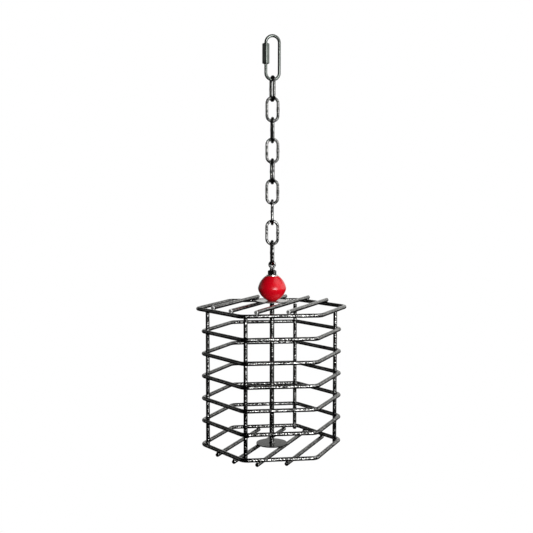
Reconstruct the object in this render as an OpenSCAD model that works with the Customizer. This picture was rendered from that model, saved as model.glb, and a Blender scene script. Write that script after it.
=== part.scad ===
// Hanging bird feeder: a hexagonal wire cage for fat balls on a centre rod, with a wire lid held
// down by a red ball, a washer and an eye nut, on a chain of nine links and a screw quick link.
// Millimetres, +Z up. The origin is on the rod axis at the underside of the base bars.
// +X points at a ring corner, -Y is the front.

/* [Cage] */
// Corner radius of the cage rings, measured to the wire centre before the corners are rounded
cage_radius = 74.5; // [60:0.5:90]
// Height from one cage ring to the next
ring_pitch = 24; // [16:0.5:30]
// Height from the base ring to the lowest cage ring
base_gap = 26; // [16:0.5:34]
// Height from the top cage ring to the lid ring
lid_gap = 24.2; // [18:0.1:34]
// Frame wire diameter
frame_wire = 4.2; // [3:0.1:5]
// Bend radius of the wire centre at the ring corners
bend_radius = 8.5; // [6:0.5:14]
// How far each bar end stands past the wire centre of its ring
bar_overhang = 3; // [2.2:0.1:6]

/* [Lid and ball] */
// Corner radius of the lid ring, measured like the cage rings
lid_radius = 80.2; // [68:0.1:100]
// Diameter of the lid disc
lid_disc_d = 34; // [32:0.5:44]
// Diameter of the base disc
base_disc_d = 33.4; // [30:0.2:44]
// Thickness of both discs
disc_t = 1.2; // [0.8:0.1:2]
// Ball diameter at its middle
ball_d = 30; // [26:0.5:36]
// Ball height between its two flats
ball_h = 26.4; // [22:0.2:30]

/* [Rod and eye nut] */
// Centre rod diameter
rod_d = 5; // [4:0.1:6]
// Washer diameter
washer_d = 12.2; // [11:0.1:16]
// Washer thickness
washer_t = 1.4; // [0.8:0.1:2]
// Width across the flats of the eye nut
nut_af = 8.2; // [8:0.1:12]
// Height of the eye nut
nut_h = 4.5; // [4:0.1:6]
// Wire diameter of the hanging eye
eye_wire = 2.4; // [1.8:0.1:2.4]
// Height from the eye nut to the middle of the eye
eye_rise = 6.3; // [6:0.1:10]

/* [Chain] */
// Chain wire diameter
chain_wire = 3; // [2.4:0.1:3.2]
// Inside length of a link, which is also the chain pitch
link_inside = 21.6; // [16:0.2:30]
// Outside width of a link
link_width = 14.8; // [13:0.2:20]

/* [Quick link] */
// Quick link wire diameter
ql_wire = 3.2; // [2.6:0.1:3.6]
// Outside length of the quick link
ql_length = 48.6; // [46:0.2:70]
// Outside width of the quick link
ql_width = 17.4; // [16:0.2:24]
// Width across the flats of the sleeve
sleeve_af = 7; // [6.4:0.1:9]
// Length of the sleeve
sleeve_length = 21; // [18:0.5:22]
// Opening in the quick link wire that the sleeve bridges
ql_opening = 8; // [6:0.5:9]

/* [Hidden] */
$fn = 96;
// the bars share the ring's width between its flats out in this many spaces
bar_spaces = 5;
bar_steps = [-1.5, -0.5, 0.5, 1.5];
wire_r = frame_wire / 2;
end_ease = 0.5;
rod_r = rod_d / 2;
across = 2 * cos(30);
sharp_to_bend = 1 / cos(30);
// each bend is this much fuller than the straight wire, which runs this far into it
bend_swell = 0.02;
bend_lap = 0.3;

// heights, from the floor up
base_bar_z = wire_r;
base_disc_z = frame_wire;
base_ring_z = frame_wire + wire_r;
ring_z = [for (i = [0:4]) base_ring_z + base_gap + (4 - i) * ring_pitch];
lid_ring_z = ring_z[0] + lid_gap;
lid_bar_z = lid_ring_z + frame_wire;
lid_disc_z = lid_bar_z + wire_r;
ball_z = lid_disc_z + disc_t;
washer_z = ball_z + ball_h;
nut_z = washer_z + washer_t;
nut_top_z = nut_z + nut_h;
eye_z = nut_top_z + eye_rise;

// cage
corner_touch = cage_radius + bend_radius * (1 - sharp_to_bend);
upright_r = corner_touch - frame_wire - bend_swell;
upright_angles = [180, 240, 0, 60];
upright_drop = 0.6;
upright_foot_z = base_ring_z - wire_r - upright_drop;
upright_lid_space = 1.2;
upright_top_z = lid_ring_z - wire_r - upright_lid_space;

// rod
rod_nut_length = 2.6;
rod_top_z = nut_z + rod_nut_length;
weld_h = 1.2;
weld_w = 1.2;
stop_h = 1.5;
stop_lip = 0.7;
running = 0.04;
loose = 0.25;
rod_tip = 0.5;
nut_turn = -15;
nut_chamfer = 0.6;
nut_corner_cut = 0.12;
hole_overrun = 1;

// ball outline: each half is a tighter arc at the middle and a flatter arc towards the flat
ball_r = ball_d / 2;
ball_mid_z = ball_z + ball_h / 2;
ball_aspect = 0.88;
upper_arcs = [ball_r * 0.5, ball_r * 1.35, 14];
lower_arcs = [ball_r * 0.4, ball_r * 1.25, 18];
arc_steps = 12;

// eye
eye_wire_r = eye_wire / 2;
eye_play = 0.2;
leg_gap = 0.04;
eye_loop_r = chain_wire / 2 + eye_play + eye_wire_r;
leg_x = eye_wire_r + leg_gap / 2;
neck_r = 2;
neck_lap = 2;
neck_dz = sqrt(pow(eye_loop_r + neck_r, 2) - pow(leg_x + neck_r, 2));
neck_turn = atan2(neck_dz, leg_x + neck_r);
leg_in_nut = 1.7;
eye_weld_h = 0.6;
eye_weld_r = rod_r + 1.2;
eye_weld_slope = 0.9;

// chain: each link hangs with its top wire resting in the one above
chain_r = chain_wire / 2;
link_span = link_inside + chain_wire;
link_bend = (link_width - chain_wire) / 2;
first_link_z = eye_z + eye_loop_r - eye_wire_r - chain_r;
link_z = [for (i = [0:8]) first_link_z + (8 - i) * link_inside];
// how far each link stands off square to its neighbours; a slack chain never hangs quite true
link_turns = [10, 0, 0, 0, 3, 0, -7, 0, 0];

// quick link
ql_r = ql_wire / 2;
ql_bend = (ql_width - ql_wire) / 2;
ql_span = ql_length - ql_wire;
ql_z = link_z[0] + link_span - chain_r - ql_r;
ql_straight_top = ql_z + ql_span - ql_bend;
sleeve_below_bend = 0.9;
sleeve_cover = 0.6;
sleeve_top_z = ql_straight_top - sleeve_below_bend;
opening_top_z = sleeve_top_z - sleeve_cover;
sleeve_chamfer = 1.1;
sleeve_corner_cut = 0.2;
sleeve_turn = 36;

silver_vein = [0.24, 0.24, 0.23];
disc_grey = [0.5, 0.5, 0.49];
plated = [0.62, 0.66, 0.67];
bright = [0.85, 0.86, 0.84];
ball_red = [0.78, 0.01, 0.07];

// hexagonal wire ring with rounded corners, corner on +X
module hex_ring(corner_r) {
  side = corner_r - 2 * bend_radius * tan(30) + 2 * bend_lap;
  for (i = [0:5])
    rotate([0, 0, 60 * i]) {
      translate([corner_r - bend_radius * sharp_to_bend, 0, 0])
        rotate([0, 0, -30])
          rotate_extrude(angle = 60)
            translate([bend_radius, 0])
              circle(r = wire_r + bend_swell);
      rotate([0, 0, 30])
        translate([corner_r * cos(30), side / 2, 0])
          rotate([90, 0, 0])
            cylinder(h = side, r = wire_r);
    }
}

// straight frame wire standing on z = 0, both its cut ends eased
module cut_wire(h) {
  cylinder(h = end_ease, r1 = wire_r - end_ease, r2 = wire_r);
  translate([0, 0, end_ease])
    cylinder(h = h - 2 * end_ease, r = wire_r);
  translate([0, 0, h - end_ease])
    cylinder(h = end_ease, r1 = wire_r, r2 = wire_r - end_ease);
}

// straight bar across a ring, parallel to the edge from the front right to the right corner
module cross_bar(corner_r, step) {
  off = step * corner_r * across / bar_spaces;
  half = corner_r - abs(off) * tan(30) + bar_overhang;
  rotate([0, 0, -30])
    translate([off, half, 0])
      rotate([90, 0, 0])
        cut_wire(2 * half);
}

module plate(d) {
  cylinder(h = disc_t, d = d);
}

module upright(i) {
  rotate([0, 0, upright_angles[i]])
    translate([upright_r, 0, upright_foot_z])
      cut_wire(upright_top_z - upright_foot_z);
}

// half turn of wire standing on the XZ plane, its middle at the top
module half_turn(bend, r) {
  rotate([90, 0, 0])
    rotate_extrude(angle = 180)
      translate([bend, 0])
        circle(r = r);
}

// oval wire link in the XZ plane; z = 0 is the lowest wire centre
module oval(span, bend, r) {
  translate([0, 0, span - bend])
    half_turn(bend, r);
  translate([0, 0, bend])
    rotate([0, 180, 0])
      half_turn(bend, r);
  for (x = [-bend, bend])
    translate([x, 0, bend])
      cylinder(h = span - 2 * bend, r = r);
}

// odd links stand nearly edge-on to the front, even links face it
module chain_link(n) {
  square_turn = n % 2 == 1 ? 90 : 0;
  color(silver_vein)
    translate([0, 0, link_z[n - 1]])
      rotate([0, 0, square_turn + link_turns[n - 1]])
        oval(link_span, link_bend, chain_r);
}

// six-sided bar, its corners eased by corner_cut all the way and taken off by chamfer at both ends
module hex_bar(af, h, chamfer, corner_cut) {
  corner = af / 2 / cos(30);
  end_r = corner - chamfer;
  full_r = corner - corner_cut;
  slope = (full_r - end_r) * tan(30);
  intersection() {
    cylinder(h = h, r = corner, $fn = 6);
    rotate_extrude()
      polygon([[0, 0], [end_r, 0], [full_r, slope], [full_r, h - slope], [end_r, h], [0, h]]);
  }
}

// round hole from below z = 0 to above this height
module through_hole(h, r) {
  translate([0, 0, -hole_overrun])
    cylinder(h = h + 2 * hole_overrun, r = r);
}

module quick_link() {
  color(plated)
    difference() {
      translate([0, 0, ql_z])
        oval(ql_span, ql_bend, ql_r);
      translate([-ql_bend, 0, opening_top_z - ql_opening])
        cylinder(h = ql_opening, r = ql_wire);
    }
}

module quick_link_sleeve() {
  color(plated)
    translate([-ql_bend, 0, sleeve_top_z - sleeve_length])
      difference() {
        rotate([0, 0, sleeve_turn])
          hex_bar(sleeve_af, sleeve_length, sleeve_chamfer, sleeve_corner_cut);
        through_hole(sleeve_length, ql_r + running);
      }
}

module chain_link_1() { chain_link(1); }
module chain_link_2() { chain_link(2); }
module chain_link_3() { chain_link(3); }
module chain_link_4() { chain_link(4); }
module chain_link_5() { chain_link(5); }
module chain_link_6() { chain_link(6); }
module chain_link_7() { chain_link(7); }
module chain_link_8() { chain_link(8); }
module chain_link_9() { chain_link(9); }

// one side of the eye's neck, from the loop down into the nut
module neck() {
  rotate([90, 0, 0])
    translate([leg_x + neck_r, -neck_dz])
      rotate([0, 0, 180 - neck_turn - neck_lap])
        rotate_extrude(angle = neck_turn + 2 * neck_lap)
          translate([neck_r, 0])
            circle(r = eye_wire_r - bend_swell);
  translate([leg_x, 0, -eye_rise - leg_in_nut])
    cylinder(h = eye_rise - neck_dz + leg_in_nut, r = eye_wire_r);
}

module hanging_eye() {
  color(silver_vein) {
    translate([0, 0, eye_z]) {
      rotate([90, 0, 0])
        rotate([0, 0, -neck_turn])
          rotate_extrude(angle = 180 + 2 * neck_turn)
            translate([eye_loop_r, 0])
              circle(r = eye_wire_r);
      neck();
      mirror([1, 0, 0])
        neck();
    }
    translate([0, 0, nut_top_z])
      cylinder(h = eye_weld_h, r1 = eye_weld_r, r2 = eye_weld_r - eye_weld_slope);
  }
}

module eye_nut() {
  color(silver_vein)
    translate([0, 0, nut_z])
      difference() {
        rotate([0, 0, nut_turn])
          hex_bar(nut_af, nut_h, nut_chamfer, nut_corner_cut);
        through_hole(nut_h, rod_r + running);
      }
}

module washer() {
  color(bright)
    translate([0, 0, washer_z])
      difference() {
        cylinder(h = washer_t, d = washer_d);
        through_hole(washer_t, rod_r + loose);
      }
}

// outline of half the ball, from its middle to a flat at this height
function half_outline(arcs, h) =
  let (
    mid_r = arcs[0],
    flank_r = arcs[1],
    turn = arcs[2],
    mid_x = ball_r - mid_r,
    flank_x = mid_x - (flank_r - mid_r) * cos(turn),
    flank_y = -(flank_r - mid_r) * sin(turn),
    unit_h = ball_aspect * ball_r,
    stretch = h / unit_h,
    end = asin((unit_h - flank_y) / flank_r)
  )
  concat(
    [for (i = [0:arc_steps]) let (t = turn * i / arc_steps)
      [mid_x + mid_r * cos(t), stretch * mid_r * sin(t)]],
    [for (i = [1:arc_steps]) let (t = turn + (end - turn) * i / arc_steps)
      [flank_x + flank_r * cos(t), stretch * (flank_y + flank_r * sin(t))]]
  );

module ball() {
  bore_r = rod_r + loose;
  half_h = ball_h / 2;
  upper = half_outline(upper_arcs, half_h);
  lower = half_outline(lower_arcs, half_h);
  last = len(lower) - 1;
  color(ball_red)
    translate([0, 0, ball_mid_z])
      rotate_extrude()
        polygon(concat(
          [[bore_r, -half_h]],
          [for (i = [last:-1:1]) [lower[i][0], -lower[i][1]]],
          upper,
          [[bore_r, half_h]]
        ));
}

module lid_ring() {
  color(silver_vein)
    translate([0, 0, lid_ring_z])
      hex_ring(lid_radius);
}

module lid_bar(i) {
  color(silver_vein)
    translate([0, 0, lid_bar_z])
      cross_bar(lid_radius, bar_steps[i - 1]);
}

module lid_bar_1() { lid_bar(1); }
module lid_bar_2() { lid_bar(2); }
module lid_bar_3() { lid_bar(3); }
module lid_bar_4() { lid_bar(4); }

module lid_disc() {
  color(disc_grey)
    translate([0, 0, lid_disc_z])
      difference() {
        plate(lid_disc_d);
        through_hole(disc_t, rod_r + loose);
      }
}

// rod with a weld at its foot, a raised stop under the lid disc and a bevelled tip
module centre_rod() {
  foot_z = base_disc_z + disc_t;
  color(silver_vein) {
    translate([0, 0, foot_z])
      cylinder(h = rod_top_z - rod_tip - foot_z, r = rod_r);
    translate([0, 0, rod_top_z - rod_tip])
      cylinder(h = rod_tip, r1 = rod_r, r2 = rod_r - rod_tip);
    translate([0, 0, foot_z])
      cylinder(h = weld_h, r1 = rod_r + weld_w, r2 = rod_r);
    translate([0, 0, lid_disc_z - stop_h])
      cylinder(h = stop_h, r1 = rod_r, r2 = rod_r + stop_lip);
  }
}

module cage_ring(i) {
  color(silver_vein)
    translate([0, 0, ring_z[i - 1]])
      hex_ring(cage_radius);
}

module cage_ring_1() { cage_ring(1); }
module cage_ring_2() { cage_ring(2); }
module cage_ring_3() { cage_ring(3); }
module cage_ring_4() { cage_ring(4); }
module cage_ring_5() { cage_ring(5); }

module base_ring() {
  color(silver_vein)
    translate([0, 0, base_ring_z])
      hex_ring(cage_radius);
}

module upright_left() { color(silver_vein) upright(0); }
module upright_front() { color(silver_vein) upright(1); }
module upright_right() { color(silver_vein) upright(2); }
module upright_back() { color(silver_vein) upright(3); }

module base_bar(i) {
  color(silver_vein)
    translate([0, 0, base_bar_z])
      cross_bar(cage_radius, bar_steps[i - 1]);
}

module base_bar_1() { base_bar(1); }
module base_bar_2() { base_bar(2); }
module base_bar_3() { base_bar(3); }
module base_bar_4() { base_bar(4); }

module base_disc() {
  color(disc_grey)
    translate([0, 0, base_disc_z])
      plate(base_disc_d);
}

quick_link();
quick_link_sleeve();
chain_link_1();
chain_link_2();
chain_link_3();
chain_link_4();
chain_link_5();
chain_link_6();
chain_link_7();
chain_link_8();
chain_link_9();
hanging_eye();
eye_nut();
washer();
ball();
lid_ring();
lid_bar_1();
lid_bar_2();
lid_bar_3();
lid_bar_4();
lid_disc();
centre_rod();
cage_ring_1();
cage_ring_2();
cage_ring_3();
cage_ring_4();
cage_ring_5();
base_ring();
upright_left();
upright_front();
upright_right();
upright_back();
base_bar_1();
base_bar_2();
base_bar_3();
base_bar_4();
base_disc();
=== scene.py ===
"""Looks for the hanging bird feeder: coated wire cage, chain, quick link, red ball, studio and camera."""
import math

import bpy
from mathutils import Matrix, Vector, noise


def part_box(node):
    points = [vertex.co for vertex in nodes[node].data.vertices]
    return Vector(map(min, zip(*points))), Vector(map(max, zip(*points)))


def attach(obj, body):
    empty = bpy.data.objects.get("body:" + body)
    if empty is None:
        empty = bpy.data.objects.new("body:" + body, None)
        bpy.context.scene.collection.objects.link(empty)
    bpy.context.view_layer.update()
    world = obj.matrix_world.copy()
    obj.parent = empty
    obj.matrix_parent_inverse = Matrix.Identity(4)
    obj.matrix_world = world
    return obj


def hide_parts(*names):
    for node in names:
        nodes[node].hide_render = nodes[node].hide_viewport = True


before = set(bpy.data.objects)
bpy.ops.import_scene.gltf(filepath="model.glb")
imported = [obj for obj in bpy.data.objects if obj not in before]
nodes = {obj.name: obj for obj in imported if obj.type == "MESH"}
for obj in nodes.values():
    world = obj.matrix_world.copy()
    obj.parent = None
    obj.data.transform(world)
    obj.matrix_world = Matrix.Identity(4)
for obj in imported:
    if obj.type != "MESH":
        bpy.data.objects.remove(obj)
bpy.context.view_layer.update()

MM = 0.001
UP = Vector((0, 0, 1))


def named(*beginnings):
    """The CAD nodes whose names begin like this."""
    return [n for n in nodes if n.startswith(beginnings)]


def heading(degrees):
    """A level unit vector, this far round from +X towards +Y."""
    a = math.radians(degrees)
    return Vector((math.cos(a), math.sin(a), 0))


# ---------------------------------------------------------------- node trees

def feed(tree, value, socket):
    """Joins the value to the socket if it comes from a node, or else sets it."""
    if isinstance(value, bpy.types.NodeSocket):
        tree.links.new(value, socket)
    else:
        socket.default_value = value


def maths_node(tree, operation, first, second=0.0):
    made = tree.nodes.new("ShaderNodeMath")
    made.operation = operation
    for value, socket in zip((first, second), made.inputs):
        feed(tree, value, socket)
    return made.outputs[0]


class Tree:
    """A material's node tree, with short calls to add nodes and join them."""

    def __init__(self, name):
        self.material = bpy.data.materials.new(name)
        self.material.use_nodes = True
        self.tree = self.material.node_tree
        self.tree.nodes.clear()
        self.output = self.node("ShaderNodeOutputMaterial")
        self.place = self.node("ShaderNodeTexCoord").outputs["Object"]

    def node(self, kind, **settings):
        made = self.tree.nodes.new(kind)
        for key, value in settings.items():
            setattr(made, key, value)
        return made

    def stretch(self, x, y, z):
        """Makes the patterns that follow finer along an axis with a number above 1."""
        made = self.node("ShaderNodeVectorMath", operation="MULTIPLY")
        feed(self.tree, self.place, made.inputs[0])
        made.inputs[1].default_value = (x, y, z)
        self.place = made.outputs[0]

    def noise(self, size_mm, detail=2.0, roughness=0.5, distortion=0.0):
        made = self.node("ShaderNodeTexNoise")
        feed(self.tree, self.place, made.inputs["Vector"])
        made.inputs["Scale"].default_value = 1 / (size_mm * MM)
        made.inputs["Detail"].default_value = detail
        made.inputs["Roughness"].default_value = roughness
        made.inputs["Distortion"].default_value = distortion
        return made.outputs["Fac"]

    def remap(self, value, start, end, to_start=0.0, to_end=1.0):
        """The value's stretch from start to end, moved to another stretch and held at its ends."""
        made = self.node("ShaderNodeMapRange")
        feed(self.tree, value, made.inputs["Value"])
        made.inputs["From Min"].default_value = start
        made.inputs["From Max"].default_value = end
        made.inputs["To Min"].default_value = to_start
        made.inputs["To Max"].default_value = to_end
        return made.outputs["Result"]

    def mix(self, share, first, second):
        """A colour that goes from the first to the second as the share goes from 0 to 1."""
        made = self.node("ShaderNodeMix", data_type="RGBA")
        feed(self.tree, share, made.inputs["Factor"])
        colours = [socket for socket in made.inputs if socket.type == "RGBA"]
        for colour, socket in zip((first, second), colours):
            opaque = colour if isinstance(colour, bpy.types.NodeSocket) else (*colour, 1)
            feed(self.tree, opaque, socket)
        return next(socket for socket in made.outputs if socket.type == "RGBA")

    def bump(self, height, depth_mm, strength=1.0, below=None):
        """A bump of this depth, laid over the bump below."""
        made = self.node("ShaderNodeBump")
        made.inputs["Strength"].default_value = strength
        made.inputs["Distance"].default_value = depth_mm * MM
        feed(self.tree, height, made.inputs["Height"])
        if below is not None:
            feed(self.tree, below, made.inputs["Normal"])
        return made.outputs["Normal"]

    def maths(self, operation, first, second=0.0):
        return maths_node(self.tree, operation, first, second)

    def thread(self, place, pitch_mm, start_mm):
        """Height of a screw thread round the Z axis, and a mask that is 1 above its start."""
        axes = self.node("ShaderNodeSeparateXYZ")
        feed(self.tree, place, axes.inputs[0])
        angle = self.maths("ARCTAN2", axes.outputs["Y"], axes.outputs["X"])
        turns = self.maths("DIVIDE", angle, 2 * math.pi)
        climb = self.maths("SUBTRACT", self.maths("DIVIDE", axes.outputs["Z"], pitch_mm * MM), turns)
        above = self.remap(axes.outputs["Z"], start_mm * MM, (start_mm + pitch_mm) * MM)
        half_pitch = 0.5
        return self.maths("MULTIPLY", self.maths("PINGPONG", climb, half_pitch), above), above

    def facing(self, axis):
        """How squarely the surface faces along this axis, either way."""
        dot = self.node("ShaderNodeVectorMath", operation="DOT_PRODUCT")
        feed(self.tree, self.node("ShaderNodeTexCoord").outputs["Normal"], dot.inputs[0])
        dot.inputs[1].default_value = axis
        return self.maths("ABSOLUTE", dot.outputs["Value"])

    def surface(self, **inputs):
        """The finished material; each input is named like its socket."""
        made = self.node("ShaderNodeBsdfPrincipled")
        for key, value in inputs.items():
            feed(self.tree, value, made.inputs[key.replace("_", " ")])
        feed(self.tree, made.outputs["BSDF"], self.output.inputs["Surface"])
        return self.material


# ---------------------------------------------------------------- materials

THREAD_PITCH_MM = 0.8
THREAD_DEPTH_MM = 0.6
ROD_THREAD_START_MM = 174
BAR_HEADING = 60
BAR_AXIS = heading(BAR_HEADING)
SCUFF_GREY = (0.5, 0.5, 0.49)
THREAD_GREY = (0.4, 0.4, 0.39)
# Painted highlight at the lid bars' cut ends: a light grey rim round each end, and a darker painted
# centre on the end face for contrast. The base bars' ends keep the plain coat.
END_RIM_HIGHLIGHT_GREY = (0.8, 0.8, 0.79)
END_FACE_SHADE_GREY = (0.2, 0.2, 0.195)
# Painted light on two discs of one coat: the lid disc's light grey is a painted reflection of the bright
# surroundings, and the base disc's dark grey is painted shade.
LID_GREY_PAINTED_REFLECTION = (0.55, 0.55, 0.54)
BASE_GREY_PAINTED_SHADE = (0.12, 0.12, 0.117)
COAT_DARK_BLUE = 0.97
COAT_LIGHT_BLUE = 0.98


def grey(level, blue):
    """A faintly warm grey, with its blue held back to this part of the level."""
    return level, level, level * blue


def scaled(colour, factor):
    return [part * factor for part in colour]


def silver_vein(name, rim=0.85, dark=0.018, light=0.33, thread_from=None, painted_end_highlight=False):
    """Hammered dark powder coat: its small dimples break every highlight into bright flecks."""
    t = Tree(name)
    unstretched = t.place
    t.stretch(1, 1, 1.4)
    dimple = t.noise(size_mm=1.45, detail=1, roughness=0.4)
    fine = t.noise(size_mm=1, detail=1)
    fleck = t.remap(t.noise(size_mm=1.3, detail=1), start=0.45, end=0.57)
    colour = t.mix(fleck, grey(dark, COAT_DARK_BLUE), grey(light, COAT_LIGHT_BLUE))
    scuff = t.remap(t.noise(size_mm=14, detail=6, roughness=0.7), start=0.66, end=0.7, to_end=0.5)
    colour = t.mix(scuff, colour, SCUFF_GREY)
    normal = t.bump(dimple, depth_mm=0.32)
    normal = t.bump(fine, depth_mm=0.05, below=normal)
    if thread_from is not None:
        height, above = t.thread(unstretched, THREAD_PITCH_MM, thread_from)
        normal = t.bump(height, THREAD_DEPTH_MM, below=normal)
        colour = t.mix(above, colour, THREAD_GREY)
    metal = 1.0
    rough = t.remap(fine, start=0.3, end=0.7, to_start=0.1, to_end=0.18)
    # Painted highlight: the rim round each bar end turns light grey, less metallic and rougher, and the
    # flat end face gets a painted dark centre.
    if painted_end_highlight:
        facing = t.facing(BAR_AXIS)
        end_rim_highlight = t.remap(facing, start=0.2, end=0.6)
        flat = t.remap(facing, start=0.93, end=0.99)
        colour = t.mix(end_rim_highlight, colour, END_RIM_HIGHLIGHT_GREY)
        colour = t.mix(flat, colour, END_FACE_SHADE_GREY)
        metal = t.remap(end_rim_highlight, start=0, end=1, to_start=1.0, to_end=0.1)
        rough = t.maths("ADD", rough, t.remap(end_rim_highlight, start=0, end=1, to_end=0.3))
    return t.surface(
        Base_Color=colour,
        Metallic=metal,
        Specular_Tint=(rim, rim, rim, 1),
        Roughness=rough,
        Normal=normal,
    )


def coated_plate(name, tone, rim):
    """The same coat on flat sheet, smoother and more even; its tone holds painted light: lighter for a
    painted reflection on the lid disc, darker for painted shade on the base disc.
    """
    t = Tree(name)
    grain = t.noise(size_mm=1.6, detail=3)
    mottle = t.remap(t.noise(size_mm=3.5, detail=4, roughness=0.65), start=0.38, end=0.58)
    return t.surface(
        Base_Color=t.mix(mottle, scaled(tone, 0.7), scaled(tone, 1.1)),
        Metallic=0.8,
        Specular_Tint=(rim, rim, rim, 1),
        Roughness=t.remap(t.noise(size_mm=0.9), start=0.3, end=0.7, to_start=0.14, to_end=0.22),
        Normal=t.bump(grain, depth_mm=0.02, strength=0.5),
    )


def plated_steel(name, dull, clean, roughness):
    """Dull zinc-plated steel: dark, slightly green, with soft streaks."""
    t = Tree(name)
    streak = t.noise(size_mm=5, detail=3, distortion=0.6)
    return t.surface(
        Base_Color=t.mix(t.remap(streak, start=0.35, end=0.65), dull, clean),
        Metallic=0.9,
        Specular_Tint=(0.4, 0.42, 0.42, 1),
        Roughness=t.remap(streak, start=0.3, end=0.7, to_start=roughness, to_end=roughness + 0.08),
        Normal=t.bump(t.noise(size_mm=0.8), depth_mm=0.004, strength=0.3),
    )


def bright_steel():
    """Bright, finely brushed plating."""
    t = Tree("bright_steel")
    brushed = t.noise(size_mm=0.5, detail=3)
    return t.surface(
        Base_Color=t.mix(brushed, (0.62, 0.63, 0.58), (0.74, 0.74, 0.7)),
        Metallic=0.9,
        Roughness=t.remap(brushed, start=0.3, end=0.7, to_start=0.24, to_end=0.34),
        Normal=t.bump(brushed, depth_mm=0.01, strength=0.3),
    )


def red_gloss():
    """Smooth red lacquer, a little cloudy."""
    t = Tree("red_gloss")
    cloud = t.remap(t.noise(size_mm=7), start=0.3, end=0.7)
    return t.surface(
        Base_Color=t.mix(cloud, (0.62, 0.0009, 0.009), (0.66, 0.0012, 0.011)),
        Roughness=t.remap(t.noise(size_mm=2.5), start=0.3, end=0.7, to_start=0.25, to_end=0.31),
        Specular_IOR_Level=0.45,
    )


def paint(material, *names):
    for name in names:
        nodes[name].material_slots[0].material = material


coat = silver_vein("silver_vein")
# Painted shade: a darker copy of the same coat for the chain, eye and nut, with its flecks and its
# glancing reflections (rim) turned down to dim their highlights.
chain_coat_painted_shade = silver_vein("silver_vein_chain_painted_shade", rim=0.15, dark=0.012, light=0.26)
# Lid bars only: the coat with a painted highlight round their ends.
lid_bar_end_highlight_coat = silver_vein("silver_vein_end_highlight", painted_end_highlight=True)
rod_coat = silver_vein("silver_vein_rod", thread_from=ROD_THREAD_START_MM)
red = red_gloss()
plated_wire = plated_steel("plated_wire", (0.1, 0.112, 0.102), (0.15, 0.166, 0.152), roughness=0.2)
plated_sleeve = plated_steel("plated_sleeve", (0.12, 0.134, 0.122), (0.165, 0.182, 0.167), roughness=0.36)
paint(coat, "lid_ring", "base_ring", *named("cage_ring", "upright", "base_bar"))
# The chain, eye and nut get the darker painted-shade copy of the coat.
paint(chain_coat_painted_shade, "hanging_eye", "eye_nut", *named("chain_link"))
paint(lid_bar_end_highlight_coat, *named("lid_bar"))
paint(rod_coat, "centre_rod")
paint(plated_wire, "quick_link")
paint(plated_sleeve, "quick_link_sleeve")
paint(bright_steel(), "washer")
paint(red, "ball")
# Painted reflection on the lid disc, painted shade on the base disc.
paint(coated_plate("lid_plate_painted_reflection", tone=LID_GREY_PAINTED_REFLECTION, rim=0.6), "lid_disc")
paint(coated_plate("base_plate_painted_shade", tone=BASE_GREY_PAINTED_SHADE, rim=0.5), "base_disc")


# ---------------------------------------------------------------- rounded edges

SHARP_ANGLE = math.radians(40)
PLATE_EDGE_MM = 0.2
WASHER_EDGE_MM = 0.15


def soften(width_mm, *names):
    """Small rounded edges on sheet and turned parts, for the look only."""
    for name in names:
        bevel = nodes[name].modifiers.new("soft_edges", "BEVEL")
        bevel.width = width_mm * MM
        bevel.segments = 2
        bevel.limit_method = "ANGLE"
        bevel.angle_limit = SHARP_ANGLE


soften(PLATE_EDGE_MM, "lid_disc", "base_disc")
soften(WASHER_EDGE_MM, "washer")


# ---------------------------------------------------------------- meshes of rings of points

def ring_of_points(columns):
    """Unit vectors evenly round the Z axis."""
    return [heading(360 * c / columns) for c in range(columns)]


def side_faces(rows, columns, first=0):
    """Quads between rings of points, counted upwards so that every face looks outwards."""
    faces = []
    for low in range(first, first + (rows - 1) * columns, columns):
        high = low + columns
        for c in range(columns):
            d = (c + 1) % columns
            faces.append([low + c, low + d, high + d, high + c])
    return faces


def capped_faces(rows, columns, first=0):
    """The same with both ends closed."""
    last = first + (rows - 1) * columns
    bottom = [first + c for c in reversed(range(columns))]
    top = [last + c for c in range(columns)]
    return side_faces(rows, columns, first) + [bottom, top]


def piece(name, body, material, points, faces):
    """A smooth piece of this mesh that rides on a CAD body."""
    mesh = bpy.data.meshes.new(name)
    mesh.from_pydata(points, [], faces)
    mesh.validate()
    mesh.shade_smooth()
    mesh.materials.append(material)
    made = bpy.data.objects.new(name, mesh)
    bpy.context.scene.collection.objects.link(made)
    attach(made, body)
    return made


# ---------------------------------------------------------------- ball

PROFILE_STEP = 0.001 * MM
PROFILE_FLAT = 0.003 * MM
BALL_STEPS = 4
BALL_COLUMNS = 160


def ball_profile():
    """Height and radius up the ball, without the points that only split a flat facet."""
    widest = {}
    for v in nodes["ball"].data.vertices:
        z = round(v.co.z / PROFILE_STEP)
        widest[z] = max(widest.get(z, 0), v.co.xy.length)
    points = [Vector((z * PROFILE_STEP, widest[z])) for z in sorted(widest)]
    kept = points[:1]
    for here, after in zip(points[1:], points[2:]):
        chord = (after - kept[-1]).normalized()
        reach = here - kept[-1]
        if abs(reach.x * chord.y - reach.y * chord.x) > PROFILE_FLAT:
            kept.append(here)
    return kept + points[-1:]


def rounded(profile, steps):
    """The profile as a smooth curve through its points."""
    slopes = []
    for i in range(len(profile)):
        below = profile[max(i - 1, 0)]
        above = profile[min(i + 1, len(profile) - 1)]
        slopes.append((above.y - below.y) / (above.x - below.x))
    fine = profile[:1]
    for low, high, low_slope, high_slope in zip(profile, profile[1:], slopes, slopes[1:]):
        rise = high.x - low.x
        for step in range(1, steps + 1):
            t = step / steps
            ends = low.y * (1 + 2 * t) * (1 - t) ** 2 + high.y * (3 - 2 * t) * t * t
            bend = rise * t * (1 - t) * (low_slope * (1 - t) - high_slope * t)
            fine.append(Vector((low.x + rise * t, ends + bend)))
    return fine


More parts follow.
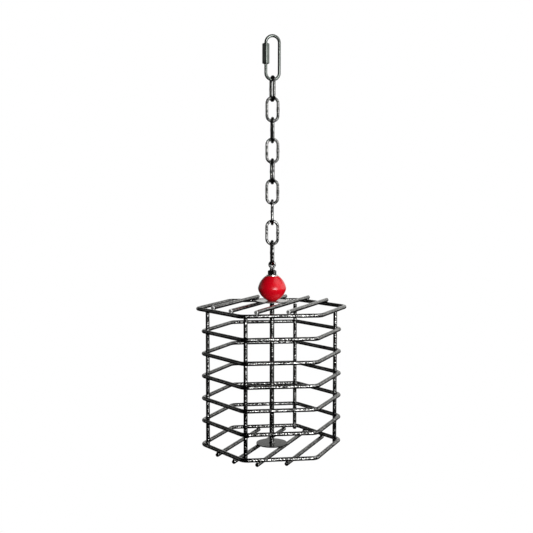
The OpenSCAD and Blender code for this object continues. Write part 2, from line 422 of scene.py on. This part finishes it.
def add_ball():
    """The ball turned again from its CAD profile, with a smooth curve in place of the facets."""
    profile = rounded(ball_profile(), BALL_STEPS)
    bore = min(v.co.xy.length for v in nodes["ball"].data.vertices)
    profile = [Vector((profile[0].x, bore)), *profile, Vector((profile[-1].x, bore))]
    points = [out * spot.y + UP * spot.x for spot in profile for out in ring_of_points(BALL_COLUMNS)]
    faces = side_faces(len(profile) + 1, BALL_COLUMNS)
    faces = [[index % len(points) for index in face] for face in faces]
    made = piece("ball_turned", "ball", red, points, faces)
    made.data.set_sharp_from_angle(angle=SHARP_ANGLE)
    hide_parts("ball")


# ---------------------------------------------------------------- welds

WIRE_R = 2.1 * MM
BEAD_R = 2.0 * MM
BEAD_HALF = 0.95 * MM
BEAD_ROUGH = 0.16
BEAD_LUMPS = 1.4
BEAD_SPREAD = 4 * MM
BEAD_ROWS = 14
BEAD_COLUMNS = 24
HEX_SIDES = 6
HEX_TURN = 360 / HEX_SIDES
HEX_HALF = HEX_TURN / 2
LEAST_SLOPE = 0.4
CHAIN_SPAN = 24.6 * MM
BULGE_HALF = 2.8 * MM
BULGE_RISE = 0.24 * MM
BULGE_SUNK = 0.03 * MM
BULGE_ROUGH = 0.5
BULGE_LUMPS = 1.5
BULGE_ROWS = 25
BULGE_COLUMNS = 40
CHAIN_LINKS = len(named("chain_link"))


def middle(name):
    low, high = (Vector(corner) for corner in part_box(name))
    return (low + high) / 2


def bead(points, faces, centre, across):
    """A slightly lumpy weld bead, flattened along the line between the two wires."""
    turn = across.to_track_quat("Z", "Y").to_matrix()
    faces.extend(capped_faces(BEAD_ROWS, BEAD_COLUMNS, first=len(points)))
    for r in range(BEAD_ROWS):
        polar = math.pi * (r + 0.5) / BEAD_ROWS
        for level in ring_of_points(BEAD_COLUMNS):
            out = level * math.sin(polar) - UP * math.cos(polar)
            lump = 1 + BEAD_ROUGH * noise.noise(out * BEAD_LUMPS + centre / BEAD_SPREAD)
            shape = Vector((out.x * BEAD_R, out.y * BEAD_R, out.z * BEAD_HALF))
            points.append(centre + turn @ shape * lump)


def crossings(bar, ring, height):
    """Where a bar's centre line passes over the straight sides of a hexagonal ring."""
    low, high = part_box(ring)
    flat = (high[1] - low[1]) / 2 - WIRE_R
    half_side = flat * math.tan(math.radians(HEX_HALF))
    centre = middle(bar)
    found = []
    for side in range(HEX_SIDES):
        out = heading(HEX_HALF + HEX_TURN * side)
        slope = BAR_AXIS.dot(out)
        runs_along_side = abs(slope) < LEAST_SLOPE
        if runs_along_side:
            continue
        spot = centre + BAR_AXIS * (flat - centre.dot(out)) / slope
        if abs(spot.dot(UP.cross(out))) < half_side:
            spot.z = height
            found.append(spot)
    return found


def add_cage_welds():
    points, faces = [], []
    rings = named("cage_ring") + named("base_ring")
    for upright in named("upright"):
        stand = middle(upright)
        outward = Vector((stand.x, stand.y, 0)).normalized()
        for ring in rings:
            contact = Vector((stand.x, stand.y, middle(ring).z)) + outward * WIRE_R
            bead(points, faces, contact, outward)
    for bar in named("base_bar"):
        low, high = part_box(bar)
        for contact in crossings(bar, "base_ring", high[2]):
            bead(points, faces, contact, UP)
    piece("cage_welds", "cage", coat, points, faces)


def add_lid_welds():
    points, faces = [], []
    for bar in named("lid_bar"):
        low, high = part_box(bar)
        for contact in crossings(bar, "lid_ring", low[2]):
            bead(points, faces, contact, UP)
    piece("lid_welds", "lid", coat, points, faces)


def add_link_weld(number):
    """The butt weld half way up one side of a chain link, a little fuller than the wire."""
    name = f"chain_link_{number}"
    low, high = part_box(name)
    centre = middle(name)
    far = max(nodes[name].data.vertices, key=lambda v: round((v.co.xy - centre.xy).length, 6)).co
    outward = Vector((far.x - centre.x, far.y - centre.y, 0))
    wire_r = (high[2] - low[2] - CHAIN_SPAN) / 2
    leg = centre + outward.normalized() * (outward.length - wire_r)
    points = []
    for r in range(BULGE_ROWS):
        t = 2 * r / (BULGE_ROWS - 1) - 1
        rise = BULGE_RISE * (1 - t * t) ** 2
        for out in ring_of_points(BULGE_COLUMNS):
            rough = BULGE_ROUGH * noise.noise((out + UP * t) * BULGE_LUMPS + Vector((number, 0, 0)))
            radius = wire_r - BULGE_SUNK + rise * (1 + rough)
            points.append(leg + out * radius + UP * t * BULGE_HALF)
    faces = capped_faces(BULGE_ROWS, BULGE_COLUMNS)
    piece(f"link_weld_{number}", f"link_{number}", chain_coat_painted_shade, points, faces)


add_ball()
add_cage_welds()
add_lid_welds()
for link_number in range(1, CHAIN_LINKS + 1):
    add_link_weld(link_number)


# ---------------------------------------------------------------- camera

VIEW_AZIMUTH = -7.14
CAMERA_HEIGHT = 0.2647
CAMERA_AWAY = 0.904
CAMERA_ASIDE = -0.0061
CAMERA_DOWN = 4.31
CAMERA_ROLL = -0.09
LENS = 57.4
SENSOR = 36
NEAREST = 0.01
FARTHEST = 50


def around(azimuth, distance, height):
    """A point at this bearing from the rod, 0 in front and 90 to the right."""
    return heading(azimuth - 90) * distance + UP * height


def add_camera():
    data = bpy.data.cameras.new("camera")
    data.lens = LENS
    data.sensor_width = SENSOR
    data.clip_start = NEAREST
    data.clip_end = FARTHEST
    camera = bpy.data.objects.new("camera", data)
    bpy.context.scene.collection.objects.link(camera)
    in_line = around(VIEW_AZIMUTH, CAMERA_AWAY, CAMERA_HEIGHT)
    camera.location = in_line + heading(VIEW_AZIMUTH) * CAMERA_ASIDE
    camera.rotation_mode = "XYZ"
    camera.rotation_euler = [math.radians(a) for a in (90 - CAMERA_DOWN, CAMERA_ROLL, VIEW_AZIMUTH)]
    bpy.context.scene.camera = camera


# ---------------------------------------------------------------- studio

FLOOR_DROP = 1.0
FLOOR_HALF = 12
BACKDROP_SIDES = (-0.45, 0.1)
BACKDROP_TURN = 40
BACKDROP_BRIGHT = (0.1, 0.8)
BACKDROP_FOOT = (-0.25, 0.12)
BACKDROP_TOP = (0.6, 0.25)
BACKDROP_LEFT = 0.25
BACKDROP_RIGHT = 1.2
ROOM_LEVEL = 0.01
WHITE = (1, 1, 1, 1)
ROOM_TINT = (1, 1, 0.98, 1)
LIGHT_TARGET = UP * 0.2
LIGHT_AWAY = 1.3


def softbox(name, bearing, elevation, width, height, power):
    """An area light aimed at the feeder; its bearing is counted from the camera's."""
    data = bpy.data.lights.new(name, "AREA")
    data.shape = "RECTANGLE"
    data.size = width
    data.size_y = height
    data.energy = power
    light = bpy.data.objects.new(name, data)
    bpy.context.scene.collection.objects.link(light)
    e = math.radians(elevation)
    offset = around(VIEW_AZIMUTH + bearing, LIGHT_AWAY * math.cos(e), LIGHT_AWAY * math.sin(e))
    light.location = LIGHT_TARGET + offset
    light.rotation_mode = "QUATERNION"
    light.rotation_quaternion = offset.to_track_quat("Z", "Y")


def add_floor():
    """A plain white floor well below the hanging feeder, left out of reflections."""
    mesh = bpy.data.meshes.new("studio_floor")
    corners = [(-1, -1), (1, -1), (1, 1), (-1, 1)]
    points = [(x * FLOOR_HALF, y * FLOOR_HALF, -FLOOR_DROP) for x, y in corners]
    mesh.from_pydata(points, [], [(0, 1, 2, 3)])
    floor = bpy.data.objects.new("studio_floor", mesh)
    bpy.context.scene.collection.objects.link(floor)
    floor.visible_glossy = False
    floor.visible_diffuse = False
    t = Tree("studio_white")
    glow = t.node("ShaderNodeEmission")
    feed(t.tree, glow.outputs[0], t.output.inputs["Surface"])
    mesh.materials.append(t.material)


def add_world():
    """White to the camera; reflections see dark in front and a backdrop behind, brighter on the right."""
    world = bpy.data.worlds.new("studio")
    bpy.context.scene.world = world
    world.use_nodes = True
    tree = world.node_tree
    tree.nodes.clear()
    direction = tree.nodes.new("ShaderNodeTexCoord").outputs["Generated"]

    def along(vector, start, end):
        """How far a ray points along this vector, from 0 at start to 1 at end."""
        dot = tree.nodes.new("ShaderNodeVectorMath")
        dot.operation = "DOT_PRODUCT"
        dot.inputs[1].default_value = vector
        tree.links.new(direction, dot.inputs[0])
        ramp = tree.nodes.new("ShaderNodeMapRange")
        ramp.interpolation_type = "SMOOTHSTEP"
        ramp.inputs["From Min"].default_value = start
        ramp.inputs["From Max"].default_value = end
        tree.links.new(dot.outputs["Value"], ramp.inputs["Value"])
        return ramp.outputs["Result"]

    def maths(operation, first, second):
        return maths_node(tree, operation, first, second)

    def background(colour, strength):
        made = tree.nodes.new("ShaderNodeBackground")
        made.inputs["Color"].default_value = colour
        feed(tree, strength, made.inputs["Strength"])
        return made.outputs[0]

    behind = along(-around(VIEW_AZIMUTH, 1, 0), *BACKDROP_SIDES)
    bright = along(-around(VIEW_AZIMUTH - BACKDROP_TURN, 1, 0), *BACKDROP_BRIGHT)
    band = maths("MULTIPLY", along(UP, *BACKDROP_FOOT), along(UP, *BACKDROP_TOP))
    side = maths("ADD", maths("MULTIPLY", bright, BACKDROP_RIGHT - BACKDROP_LEFT), BACKDROP_LEFT)
    level = maths("ADD", maths("MULTIPLY", maths("MULTIPLY", behind, band), side), ROOM_LEVEL)
    blend = tree.nodes.new("ShaderNodeMixShader")
    path = tree.nodes.new("ShaderNodeLightPath")
    output = tree.nodes.new("ShaderNodeOutputWorld")
    shaders = path.outputs["Is Camera Ray"], background(ROOM_TINT, level), background(WHITE, 1)
    for source, socket in zip(shaders, blend.inputs):
        tree.links.new(source, socket)
    tree.links.new(blend.outputs[0], output.inputs["Surface"])


add_camera()
add_floor()
add_world()
softbox("key", bearing=25, elevation=5, width=0.6, height=0.6, power=16.5)
softbox("fill", bearing=78, elevation=14, width=1.3, height=0.9, power=4)
softbox("upper", bearing=75, elevation=52, width=1.3, height=0.9, power=6)
bpy.context.scene.view_settings.view_transform = "Standard"
